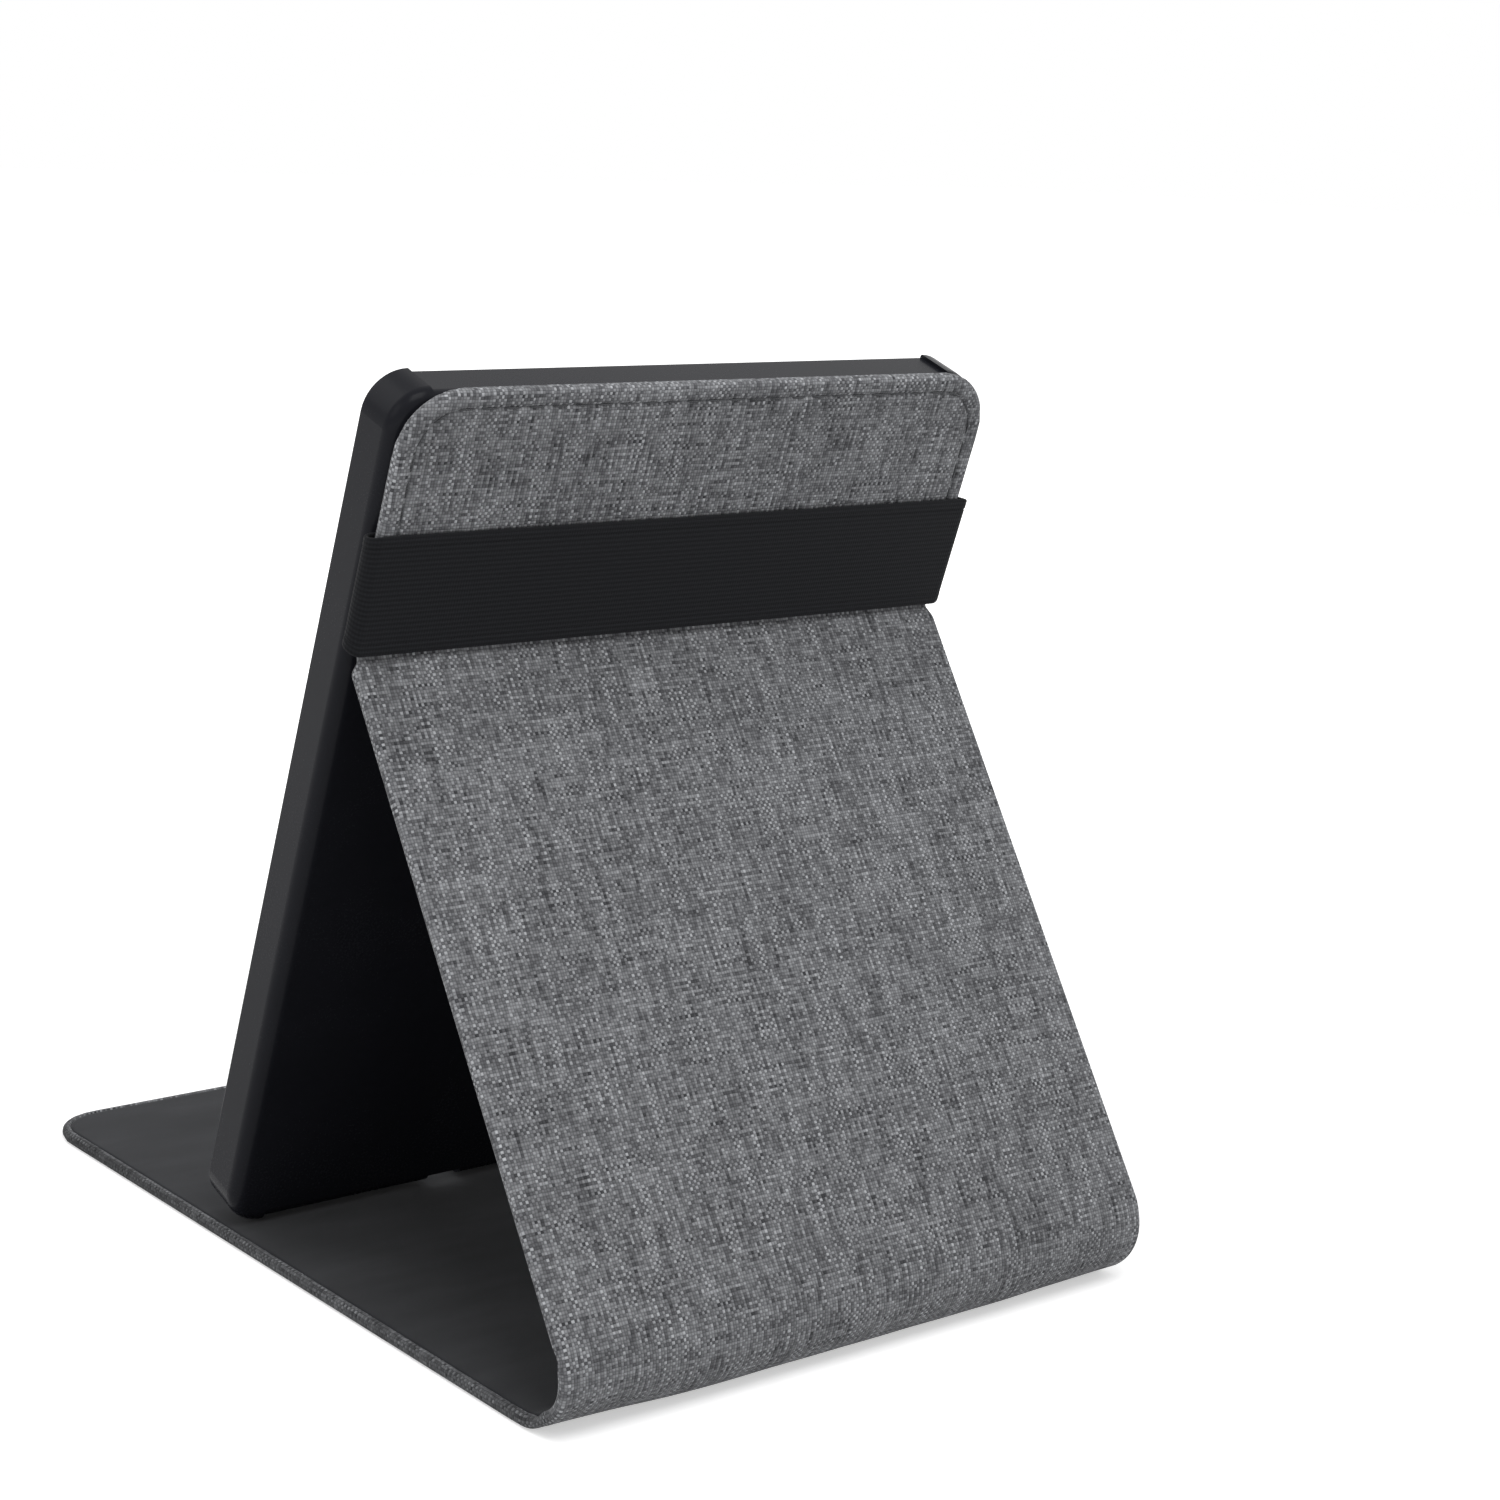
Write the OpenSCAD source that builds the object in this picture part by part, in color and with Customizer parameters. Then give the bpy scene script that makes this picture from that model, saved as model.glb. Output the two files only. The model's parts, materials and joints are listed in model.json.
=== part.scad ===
// Flip case with a kick-stand, for an e-reader or a small tablet, set up as a stand.
// The front cover lies on the table with its fabric side down. The spine and the lower back
// panel rise from it, and the moulded tray that holds the device hangs from the panel's top
// crease and stands on the cover. The upper back panel is glued to the tray, and an elastic
// hand strap runs across it.
// Origin: on the table, under the middle of the case. +X runs along the creases, -Y points
// to the side that the screen faces, and +Z is up.

/* [Device] */
// Width of the device that the tray holds
device_w = 116.6; // [100:0.2:140]
// Height of the device
device_h = 155.6; // [140:0.1:190]
// Thickness of the device
device_t = 7.6; // [6:0.1:10]
// Corner radius of the device in plan
device_corner_r = 7; // [5:0.5:9]

/* [Tray] */
// Clearance around the device inside the tray
device_fit = 0.2; // [0.1:0.05:0.5]
// Thickness of the tray's back
tray_back_t = 1; // [0.8:0.1:2]
// Thickness of the tray's side walls
side_wall_t = 1.8; // [1.4:0.1:3]
// Thickness of the tray's top and bottom walls between the corners
end_wall_t = 1; // [0.8:0.1:2]
// Height by which the corners stand out beyond the top and bottom walls
corner_step = 0.6; // [0.3:0.1:2.5]
// Outer corner radius of the tray in plan
tray_corner_r = 7; // [6:0.5:8.5]
// Fillet between the tray's walls and its back
back_fillet_r = 2.5; // [1:0.1:3.5]
// Rounding of the tray's front rim
rim_round_r = 0.4; // [0.2:0.05:0.6]
// Thickness of the lip that holds the device in
lip_t = 0.8; // [0.7:0.1:1.5]
// Distance that the lip reaches over the device's face
lip_w = 1.2; // [0.8:0.1:3]
// Width of the gap in the lip at the middle of each end, where the device goes in
lip_gap_w = 70; // [40:1:80]
// Width of each cut-out in the bottom wall
port_w = 7; // [5:0.5:16]
// Distance from the middle of the tray to the middle of each cut-out
port_x = 16; // [12:0.5:35]
// Depth by which each cut-out also enters the tray's back
port_relief = 1; // [0.3:0.1:1.5]

/* [Panels] */
// Thickness of the woven outer fabric
fabric_t = 0.45; // [0.3:0.05:0.6]
// Thickness of the stiffening boards
board_t = 1.3; // [1:0.1:2]
// Thickness of the inner lining
lining_t = 0.4; // [0.3:0.05:0.6]
// Width of the fabric that is turned over each board's edge
hem_w = 1.5; // [1:0.5:8]
// Gap around a board inside its fabric
glue_gap = 0.05; // [0.02:0.01:0.1]
// Amount by which cover, spine and lower panel are wider than the tray
panel_overhang = 1.4; // [0:0.1:4]
// Amount by which the cover is longer than the tray
cover_overhang = 5.6; // [1:0.1:8]
// Corner radius at the cover's free end
cover_corner_r = 10; // [6:0.5:14]
// Corner radius at the top of the upper back panel
upper_corner_r = 11; // [6:0.5:16]
// Height of the stand crease above the tray's bottom, as a share of the tray's height
fold_share = 0.724; // [0.6:0.002:0.76]
// Distance that the tray reaches below the lower panel's bottom crease
tray_below_crease = 2; // [0.5:0.1:3]
// Distance that the upper panel reaches above the tray's corners
panel_above_tray = 1.4; // [0:0.1:3]
// Extra width of the spine beyond the closed stack of layers
spine_slack = 1.4; // [0:0.1:2]
// Gap between the fabric of two neighbouring panels at a crease
crease_gap = 0.3; // [0.2:0.05:0.6]
// Distance from a crease to the end of each board beside it
board_setback = 1.5; // [1:0.1:3]

/* [Fixing] */
// Distance from the upper panel's edges to the tape
tape_inset = 3; // [2:0.5:8]
// Gap around the strap ends in the tape
tape_gap = 0.2; // [0.1:0.05:0.5]

/* [Hand strap] */
// Width of the elastic
strap_w = 21; // [15:0.5:26]
// Thickness of the elastic, and of the foam tape beside its ends
strap_t = 0.8; // [0.6:0.1:1.2]
// Distance from the stand crease to the strap's lower edge
strap_offset = 0.6; // [0.3:0.1:4]
// Gap between the strap and the fabric that it lies on
strap_gap = 0.3; // [0.2:0.05:0.6]
// Length of each strap end behind the panel
strap_tail = 18; // [8:1:30]

/* [Sleep magnet] */
// Length of the magnet, along the cover's long edge
magnet_len = 20; // [8:1:30]
// Width of the magnet
magnet_w = 6; // [3:0.5:8]
// Thickness of the magnet
magnet_t = 1; // [0.5:0.1:1]
// Distance from the cover's long edge to the middle of the magnet
magnet_inset = 12; // [9:0.5:30]
// Distance from the cover's free edge to the middle of the magnet
magnet_from_free_end = 40; // [20:1:80]

/* [Stand] */
// Angle between the spine and the table
spine_tilt = 66.5; // [55:0.5:80]
// Angle between the lower panel and the table
stand_tilt = 57.25; // [50:0.25:58]
// Clearance between the tray's lower corners and the cover's lining
rest_gap = 0.3; // [0.2:0.05:0.5]

/* [Hidden] */
$fn = 64;

FABRIC = "DimGray";
BOARD = "Tan";
LINING = [0.27, 0.28, 0.29];
PLASTIC = [0.13, 0.13, 0.15];
ELASTIC = [0.1, 0.1, 0.11];
through = 1; // how far a cutting shape runs past the face that it cuts

// Thickness of a panel, with its turned-in hems lying over the board
panel_t = 2 * fabric_t + board_t;

// The tray's outside and the cavity in it
tray_w = device_w + 2 * (device_fit + side_wall_t);
tray_h = device_h + 2 * (device_fit + end_wall_t + corner_step);
tray_depth = tray_back_t + device_t + lip_t;
cavity_w = device_w + 2 * device_fit;
cavity_h = device_h + 2 * device_fit;
cavity_r = device_corner_r + device_fit;
fold_height = fold_share * tray_h;
tray_mid_y = tray_h / 2 - fold_height;
tray_back_z = panel_t + strap_t;

// The panels, measured from crease to crease on the fabric's outer face
panel_w = tray_w + panel_overhang;
cover_len = tray_h + cover_overhang;
lower_len = fold_height - tray_below_crease;
upper_len = tray_h - fold_height + panel_above_tray;
spine_len = 2 * panel_t + strap_t + tray_depth + spine_slack;

// Half of the angle by which each inward crease is folded in the stand
cover_mitre = spine_tilt / 2;
spine_mitre = (180 - stand_tilt - spine_tilt) / 2;
end_gap = crease_gap / 2;

// The creases, as seen along X, and the shift that centres the case over the origin
spine_crease_y = spine_len * cos(spine_tilt);
spine_crease_z = spine_len * sin(spine_tilt);
stand_crease_y = spine_crease_y - lower_len * cos(stand_tilt);
stand_crease_z = spine_crease_z + lower_len * sin(stand_tilt);
cover_crease_y = (cover_len - spine_crease_y) / 2;

// The tray's tilt: its rounded bottom edge then lies rest_gap above the cover
heel_down = fold_height - back_fillet_r;
heel_out = tray_back_z + back_fillet_r;
heel_drop = stand_crease_z - back_fillet_r - panel_t - rest_gap;
tray_tilt = atan2(heel_out, heel_down) + asin(heel_drop / norm([heel_down, heel_out]));

// ---- Placing: each panel is drawn flat, outer face at z = 0, with its lower crease at y = 0

module on_cover() {
    translate([0, cover_crease_y, 0]) children();
}

module on_spine() {
    on_cover() rotate([spine_tilt, 0, 0]) children();
}

module on_lower_panel() {
    on_cover() translate([0, spine_crease_y, spine_crease_z])
        rotate([180 - stand_tilt, 0, 0]) children();
}

module on_tray() {
    on_cover() translate([0, stand_crease_y, stand_crease_z])
        rotate([tray_tilt, 0, 0]) children();
}

// ---- Building blocks

// Plan of a panel from y0 to y1, with corner radius r0 at y0 and r1 at y1
module panel_plan(w, y0, y1, r0, r1) {
    difference() {
        translate([-w / 2, y0]) square([w, y1 - y0]);
        for (side = [-1, 1]) {
            if (r0 > 0) corner_waste(side * w / 2, y0, -side, 1, r0);
            if (r1 > 0) corner_waste(side * w / 2, y1, -side, -1, r1);
        }
    }
}

// What rounding takes off the corner at (x, y); dx and dy point into the panel
module corner_waste(x, y, dx, dy, r) {
    translate([x, y]) mirror([dx < 0 ? 1 : 0, 0]) mirror([0, dy < 0 ? 1 : 0]) difference() {
        translate([-through, -through]) square(r + through);
        translate([r, r]) circle(r);
    }
}

// One layer of a panel between z0 and z1, whose ends lean back by the mitre angles m0 and m1
module layer(w, y0, y1, z0, z1, m0 = 0, m1 = 0, r0 = 0, r1 = 0) {
    intersection() {
        rotate([90, 0, 90]) linear_extrude(w, center = true) polygon([
            [y0 + z0 * tan(m0), z0], [y1 - z0 * tan(m1), z0],
            [y1 - z1 * tan(m1), z1], [y0 + z1 * tan(m0), z1]
        ]);
        translate([0, 0, z0 - through]) linear_extrude(z1 - z0 + 2 * through)
            panel_plan(w, y0, y1, r0, r1);
    }
}

// Outer fabric of a panel: a skin, wrapped round the board's edges and hemmed on the inside.
// hem0 and hem1 say whether it is also turned in at the y0 and y1 ends.
module wrapped_fabric(w, y0, y1, m0 = 0, m1 = 0, r0 = 0, r1 = 0, hem0 = false, hem1 = false) {
    edge0 = hem0 ? 1 : 0;
    edge1 = hem1 ? 1 : 0;
    open0 = hem0 ? 0 : through;
    open1 = hem1 ? 0 : through;
    difference() {
        layer(w, y0, y1, 0, panel_t, m0, m1, r0, r1);
        layer(w - 2 * fabric_t,
              y0 + edge0 * fabric_t - open0 - fabric_t * tan(m0),
              y1 - edge1 * fabric_t + open1 + fabric_t * tan(m1),
              fabric_t, panel_t - fabric_t, 0, 0,
              max(r0 - fabric_t, 0), max(r1 - fabric_t, 0));
        layer(w - 2 * hem_w,
              y0 + edge0 * hem_w - open0,
              y1 - edge1 * hem_w + open1,
              panel_t - fabric_t - through, panel_t + through, 0, 0,
              max(r0 - hem_w, 0), max(r1 - hem_w, 0));
    }
}

// Board inside a wrapped fabric
module stiffener(w, y0, y1, r0 = 0, r1 = 0) {
    side = fabric_t + glue_gap;
    translate([0, 0, fabric_t]) linear_extrude(board_t)
        panel_plan(w - 2 * side, y0, y1, max(r0 - side, 0), max(r1 - side, 0));
}

// Lining glued over a board, between the hems
module lining(w, y0, y1, m0 = 0, m1 = 0, r0 = 0) {
    side = hem_w + glue_gap;
    base_z = panel_t - fabric_t;
    layer(w - 2 * side, y0, y1, base_z, base_z + lining_t, m0, m1, max(r0 - side, 0), 0);
}

// ---- Front cover

module cover_fabric() {
    color(FABRIC) on_cover()
        wrapped_fabric(panel_w, -cover_len, -end_gap, m1 = cover_mitre,
                       r0 = cover_corner_r, hem0 = true);
}

module magnet_shape(grow) {
    x = panel_w / 2 - magnet_inset;
    y = magnet_from_free_end - cover_len;
    translate([x - magnet_w / 2 - grow, y - magnet_len / 2 - grow, panel_t - fabric_t - magnet_t])
        cube([magnet_w + 2 * grow, magnet_len + 2 * grow, magnet_t + grow]);
}

module cover_board() {
    color(BOARD) on_cover() difference() {
        stiffener(panel_w, -cover_len + fabric_t + glue_gap,
                  -board_setback - panel_t * tan(cover_mitre), r0 = cover_corner_r);
        magnet_shape(glue_gap);
    }
}

module sleep_magnet() {
    color("silver") on_cover() magnet_shape(0);
}

module cover_lining() {
    color(LINING) on_cover()
        lining(panel_w, -cover_len + hem_w + glue_gap, -end_gap, m1 = cover_mitre,
               r0 = cover_corner_r);
}

// ---- Spine

module spine_fabric() {
    color(FABRIC) on_spine()
        wrapped_fabric(panel_w, end_gap, spine_len - end_gap, cover_mitre, spine_mitre);
}

module spine_board() {
    color(BOARD) on_spine()
        stiffener(panel_w, board_setback + panel_t * tan(cover_mitre),
                  spine_len - board_setback - panel_t * tan(spine_mitre));
}

module spine_lining() {
    color(LINING) on_spine()
        lining(panel_w, end_gap, spine_len - end_gap, cover_mitre, spine_mitre);
}

// ---- Lower back panel, which is the kick-stand

module lower_panel_fabric() {
    color(FABRIC) on_lower_panel()
        wrapped_fabric(panel_w, end_gap, lower_len - end_gap, m0 = spine_mitre);
}

module lower_panel_board() {
    color(BOARD) on_lower_panel()
        stiffener(panel_w, board_setback + panel_t * tan(spine_mitre), lower_len - board_setback);
}

module lower_panel_lining() {
    color(LINING) on_lower_panel()
        lining(panel_w, end_gap, lower_len - end_gap, m0 = spine_mitre);
}

// ---- Upper back panel, as wide as the tray, and its fixing

module upper_panel_fabric() {
    color(FABRIC) on_tray()
        wrapped_fabric(tray_w, end_gap, upper_len, r1 = upper_corner_r, hem1 = true);
}

module upper_panel_board() {
    color(BOARD) on_tray()
        stiffener(tray_w, board_setback, upper_len - fabric_t - glue_gap, r1 = upper_corner_r);
}

module panel_tape() {
    tail_x = tray_w / 2 - strap_tail - tape_gap;
    color("WhiteSmoke") on_tray() translate([0, 0, panel_t]) linear_extrude(strap_t) difference() {
        panel_plan(tray_w - 2 * tape_inset, tape_inset, upper_len - tape_inset,
                   0, upper_corner_r - tape_inset);
        for (side = [-1, 1])
            translate([side * (tail_x + tray_w / 2), strap_offset + strap_w / 2])
                square([tray_w, strap_w + 2 * tape_gap], center = true);
    }
}

// ---- Hand strap: one length of elastic, round the panel and in behind its edges

// Section across the panel: a flat oval centred on the panel's edges, grown by the given amount
module band_outline(grow) {
    r = (panel_t + strap_gap) / 2 + grow;
    mid_z = (panel_t - strap_gap) / 2;
    for (x = [-1, 1]) translate([x * tray_w / 2, mid_z]) circle(r);
    translate([-tray_w / 2, mid_z - r]) square([tray_w, 2 * r]);
}

module hand_strap() {
    tail_end = tray_w / 2 - strap_tail;
    color(ELASTIC) on_tray() translate([0, strap_offset, 0]) mirror([0, 1, 0]) rotate([90, 0, 0])
        linear_extrude(strap_w) difference() {
            band_outline(strap_t);
            band_outline(0);
            translate([-tail_end, panel_t - through]) square([2 * tail_end, strap_t + 2 * through]);
        }
}

// ---- Moulded tray

// Half of the tray's section, from the middle (x = 0) to an outer wall at the given distance
module half_section(reach) {
    difference() {
        square([reach, tray_depth]);
        corner_waste(reach, 0, -1, 1, back_fillet_r);
        corner_waste(reach, tray_depth, -1, -1, rim_round_r);
    }
}

module full_section(reach) {
    half_section(reach);
    mirror([1, 0]) half_section(reach);
}

// The tray's outside: two crossing bars with rounded edges, and four turned corners
module tray_body() {
    corner_x = tray_w / 2 - tray_corner_r;
    corner_y = tray_h / 2 - tray_corner_r;
    rotate([90, 0, 0]) linear_extrude(2 * corner_y, center = true) full_section(tray_w / 2);
    rotate([90, 0, 90]) linear_extrude(2 * corner_x, center = true)
        full_section(tray_h / 2 - corner_step);
    for (x = [0, 1], y = [0, 1])
        mirror([x, 0, 0]) mirror([0, y, 0]) translate([corner_x, corner_y, 0])
            rotate_extrude(angle = 90) half_section(tray_corner_r);
}

module device_tray() {
    port_top = port_relief + end_wall_t + through;
    lip_open_h = cavity_h - 2 * lip_w;
    color(PLASTIC) on_tray() translate([0, tray_mid_y, tray_back_z]) difference() {
        tray_body();
        // Space for the device
        translate([0, 0, tray_back_t]) linear_extrude(device_t)
            panel_plan(cavity_w, -cavity_h / 2, cavity_h / 2, cavity_r, cavity_r);
        // Window for the screen, inside the lip
        translate([0, 0, tray_back_t]) linear_extrude(tray_depth)
            panel_plan(cavity_w - 2 * lip_w, -lip_open_h / 2, lip_open_h / 2,
                       cavity_r - lip_w, cavity_r - lip_w);
        // Gaps in the lip at both ends
        translate([-lip_gap_w / 2, -cavity_h / 2, tray_back_t])
            cube([lip_gap_w, cavity_h, tray_depth]);
        // Cut-outs in the bottom wall
        for (x = [-1, 1])
            translate([x * port_x - port_w / 2,
                       port_relief - port_top - cavity_h / 2, -through])
                cube([port_w, port_top, tray_depth + 2 * through]);
    }
}

cover_fabric();
cover_board();
cover_lining();
sleep_magnet();
spine_fabric();
spine_board();
spine_lining();
lower_panel_fabric();
lower_panel_board();
lower_panel_lining();
upper_panel_fabric();
upper_panel_board();
panel_tape();
hand_strap();
device_tray();
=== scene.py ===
"""The case as it looks: woven outer fabric, lining, hand strap and stitching over the CAD frame.

Shapes are worked out in millimetres and handed to Blender in metres.
"""

import json
import math

import bpy
import numpy as np
from mathutils import Matrix, Vector

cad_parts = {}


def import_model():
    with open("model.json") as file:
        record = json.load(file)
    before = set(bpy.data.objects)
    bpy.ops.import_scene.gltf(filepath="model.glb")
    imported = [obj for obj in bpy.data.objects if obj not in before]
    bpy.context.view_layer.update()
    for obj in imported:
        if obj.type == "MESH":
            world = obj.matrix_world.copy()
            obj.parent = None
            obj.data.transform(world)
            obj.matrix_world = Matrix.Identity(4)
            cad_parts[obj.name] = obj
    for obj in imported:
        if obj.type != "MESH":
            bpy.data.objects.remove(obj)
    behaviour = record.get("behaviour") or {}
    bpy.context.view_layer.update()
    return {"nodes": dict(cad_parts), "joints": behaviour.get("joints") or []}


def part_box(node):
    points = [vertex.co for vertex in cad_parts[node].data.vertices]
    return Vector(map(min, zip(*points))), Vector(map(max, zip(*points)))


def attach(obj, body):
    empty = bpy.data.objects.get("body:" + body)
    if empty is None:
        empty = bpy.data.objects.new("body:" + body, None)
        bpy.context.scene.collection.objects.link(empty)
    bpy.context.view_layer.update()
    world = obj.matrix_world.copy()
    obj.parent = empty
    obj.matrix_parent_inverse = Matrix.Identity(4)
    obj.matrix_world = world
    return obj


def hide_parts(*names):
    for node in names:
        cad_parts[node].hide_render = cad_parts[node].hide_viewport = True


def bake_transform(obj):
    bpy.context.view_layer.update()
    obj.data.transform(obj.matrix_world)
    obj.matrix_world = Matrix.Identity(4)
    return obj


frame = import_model()

MM = 0.001
joints = {j["name"]: j for j in frame["joints"]}
FOLDS = ("cover_fold", "spine_fold", "stand_fold")

# Sizes that the CAD model uses
PANEL_T = 2.2  # a panel, with its hems over the board
SPINE_T = 1.7  # at the soft folds beside the spine
CREASE_T = 0.95  # fabric and lining where no board lies between them
BOARD_DEPTH = (0.5, 1.75)
HEM = 1.5
COVER_R = 10.0
UPPER_R = 11.0
UPPER_LEN = 45.339
STRAP_W = 21.0
STRAP_T = 0.8
STRAP_GAP = 0.3
STRAP_OFFSET = 0.6
STRAP_TAIL = 18.0

# Finer sizes of the cloth
LINING_GAP = 0.06  # between the hem and the lining's cut edge
FOLD_R = 0.9  # the sharp fold at the stand crease
CURL_X = 28.0  # the spine's corners curl up beyond this distance from the middle
CUT_DROP = 0.42  # how far a cut edge inside rounds down to the board
WAVE = 0.03  # height of the slight waves of bonded cloth
STITCH_INSET = 3.1
BOW_R = (12.0, 10.0, 14.0)  # the three arcs of the spine, from the cover up
BOW_ENDS = (math.radians(15), math.radians(20))  # turns of the first arc and of the last

FAR = 1e9  # beyond any length here
TINY = 1e-9


def box_mm(node):
    low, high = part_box(node)
    return np.array(low) / MM, np.array(high) / MM


panel_half = box_mm("cover_fabric")[1][0]
tray_half = box_mm("upper_panel_fabric")[1][0]
free_edge_y = box_mm("cover_fabric")[0][1]

# The creases as (y, z) points, and the headings of the four panels that they join at rest.
# A joint's upper limit lays its fold flat, so it is also how far the fold is bent at rest.
creases = [np.array(joints[n]["pos_m"][1:]) / MM for n in FOLDS]
opens = [math.radians(joints[n]["range_deg"][1]) for n in FOLDS]
headings = [0.0, opens[0], opens[0] + opens[1], opens[0] + opens[1] - opens[2]]


def unit(angle):
    return np.array([math.cos(angle), math.sin(angle)])


# ---------------------------------------------------------------- the fabric's running line


class Run:
    """The outer face seen along X: straight stretches and arcs that join smoothly."""

    def __init__(self, start, stretches):
        """stretches holds the (length, turn) of each; turn is in radians."""
        self.parts = []
        s, head, place = 0.0, 0.0, np.array(start, float)
        for length, turn in stretches:
            bend = turn / length
            self.parts.append((s, place, head, bend))
            if bend:
                place = place + np.array(
                    [
                        math.sin(head + turn) - math.sin(head),
                        math.cos(head) - math.cos(head + turn),
                    ]
                ) / bend
            else:
                place = place + unit(head) * length
            s, head = s + length, head + turn
        self.length = s

    def at(self, s, depth):
        """(y, z) at running length s and depth towards the inside of the case."""
        s, depth = np.broadcast_arrays(np.asarray(s, float), np.asarray(depth, float))
        y, z = np.zeros(s.shape), np.zeros(s.shape)
        ends = [p[0] for p in self.parts[1:]] + [FAR]
        for k, (s0, start, head, bend) in enumerate(self.parts):
            here = (s >= (s0 if k else -FAR)) & (s < ends[k])
            way = s[here] - s0
            angle = head + bend * way
            if bend:
                py = start[0] + (np.sin(angle) - math.sin(head)) / bend
                pz = start[1] + (math.cos(head) - np.cos(angle)) / bend
            else:
                py, pz = start[0] + math.cos(head) * way, start[1] + math.sin(head) * way
            y[here] = py - np.sin(angle) * depth[here]
            z[here] = pz + np.cos(angle) * depth[here]
        return y, z

    def nearest(self, point):
        """The running length of the outer face's point that lies nearest to a (y, z) point."""
        s = np.linspace(0, self.length, 60001)
        y, z = self.at(s, 0.0)
        return float(s[np.argmin(np.hypot(y - point[0], z - point[1]))])


def outer_line():
    """Flat cover, the spine bowed out in three arcs, stand panel, sharp fold, upper panel."""
    turns = (BOW_ENDS[0], headings[2] - sum(BOW_ENDS), BOW_ENDS[1])
    arcs = [(r * turn, turn) for r, turn in zip(BOW_R, turns)]
    bow = Run((0, 0), arcs)
    reach_y, reach_z = (float(q) for q in bow.at(bow.length, 0.0))
    way = unit(headings[2])
    bow_y = creases[1][0] - reach_y + (reach_z - creases[1][1]) * way[0] / way[1]
    cut = FOLD_R * math.tan(opens[2] / 2)
    stand = np.hypot(creases[2][0] - bow_y - reach_y, creases[2][1] - reach_z) - cut
    line = Run(
        (free_edge_y, 0),
        [(bow_y - free_edge_y, 0.0)]
        + arcs
        + [(stand, 0.0), (FOLD_R * opens[2], -opens[2]), (UPPER_LEN - cut, 0.0)],
    )
    starts = [p[0] for p in line.parts]
    return line, starts[1], starts[4], (starts[5] + starts[6]) / 2


run, s_bow0, s_bow1, s_stand = outer_line()
s_cover, s_spine = run.nearest(creases[0]), run.nearest(creases[1])
s_seam = run.nearest((creases[1][0] + 0.2, 13.6))  # just below the upper fold of the spine


def ease(x):
    x = np.clip(x, 0, 1)
    return x * x * (3 - 2 * x)


def thickness(s):
    """Boards stop short of each fold, so the panel thins out there."""
    t = np.full(np.shape(s), PANEL_T)
    for at, least, near, far in (
        (s_cover, SPINE_T, 0.4, 2.4),
        (s_spine, SPINE_T, 0.4, 2.4),
        (s_stand, CREASE_T, 0.5, 1.7),
    ):
        t = np.minimum(t, least + (PANEL_T - least) * ease((np.abs(s - at) - near) / (far - near)))
    return t


def half_width(s):
    """Half the fabric's width: narrower on the tray, and drawn in a little at the stand crease."""
    base = panel_half + (tray_half - panel_half) * ease((s - s_stand + 2.5) / 2.5)
    base = base - 0.45 * np.exp(-(((s - s_stand) / 1.1) ** 2))
    return base - 0.35 * at_bow_corner(s)


def at_bow_corner(s):
    """1 where the spine leaves the floor, falling off quickly towards the cover's board."""
    off = s - s_bow0 - 5.0
    return np.exp(-((off / np.where(off < 0, 3.6, 8.0)) ** 2))


def curl(x, s):
    """How far the soft corners of the spine have curled up and in, in mm."""
    full_at = panel_half - CURL_X
    return np.where(x > 0, 1.0, 0.4) * at_bow_corner(s) * ease((np.abs(x) - CURL_X) / full_at)


# ---------------------------------------------------------------- meshes


def make_object(name, points, faces, uvs=None, smooth=True, painted_shading=None):
    """A mesh object from points in mm; uvs holds one (u, v) pair in mm for each face corner.

    The last argument holds, for each point, how much paler or darker the cloth is painted there:
    painted highlight and painted shade.
    """
    mesh = bpy.data.meshes.new(name)
    mesh.from_pydata((np.asarray(points) * MM).tolist(), [], [list(f) for f in faces])
    if uvs is not None:
        layer = mesh.uv_layers.new(name="Cloth")
        layer.data.foreach_set("uv", np.asarray(uvs, np.float32).ravel())
    if painted_shading is not None:
        layer = mesh.attributes.new("painted_shading", "FLOAT", "POINT")
        layer.data.foreach_set("value", np.asarray(painted_shading, np.float32))
    if smooth:
        mesh.shade_smooth()
    else:
        mesh.shade_flat()
    mesh.validate()
    obj = bpy.data.objects.new(name, mesh)
    bpy.context.scene.collection.objects.link(obj)
    return obj


EDGE_R = 0.95  # how far in from a panel's edge its rounding starts
EDGE_POWER = 2.3  # of the rounding's superellipse

# How far in from an edge the grid lines of the outer fabric and of the lining lie
NEAR_EDGE = [0, 0.03, 0.09, 0.18, 0.3, 0.45, 0.62, 0.8, EDGE_R, 1.1, 1.2, 1.35, HEM, 1.9, 2.3]
NEAR_EDGE += [2.6, 2.8, 2.95, STITCH_INSET, 3.25, 3.4, 3.6, 4.0, 4.6, 5.4]
NEAR_LINING = [0, 0.04, 0.1, 0.18, 0.28, 0.6, 1.5, 3.0]


def edge_drop(d, t):
    """Depth of the outer face at distance d from the panel's edge: half the thickness at 0."""
    u = np.clip(1 - d / EDGE_R, 0, 1)
    return t / 2 * (1 - (1 - u**EDGE_POWER) ** (1 / EDGE_POWER))


def edge_length_table():
    """Distance over the rounded edge, so that the weave isn't stretched there."""
    d = np.linspace(0, EDGE_R, 200)
    z = edge_drop(d, PANEL_T)
    way = np.concatenate([[0], np.cumsum(np.hypot(np.diff(d), np.diff(z)))])
    return d, way


EDGE_D, EDGE_WAY = edge_length_table()
EDGE_EXTRA = EDGE_WAY[-1] - EDGE_R


def over_edge(d):
    return np.where(d < EDGE_R, np.interp(d, EDGE_D, EDGE_WAY), d + EDGE_EXTRA)


def spaced(a, b, step):
    n = max(1, int(round((b - a) / step)))
    return list(np.linspace(a, b, n + 1))


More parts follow.
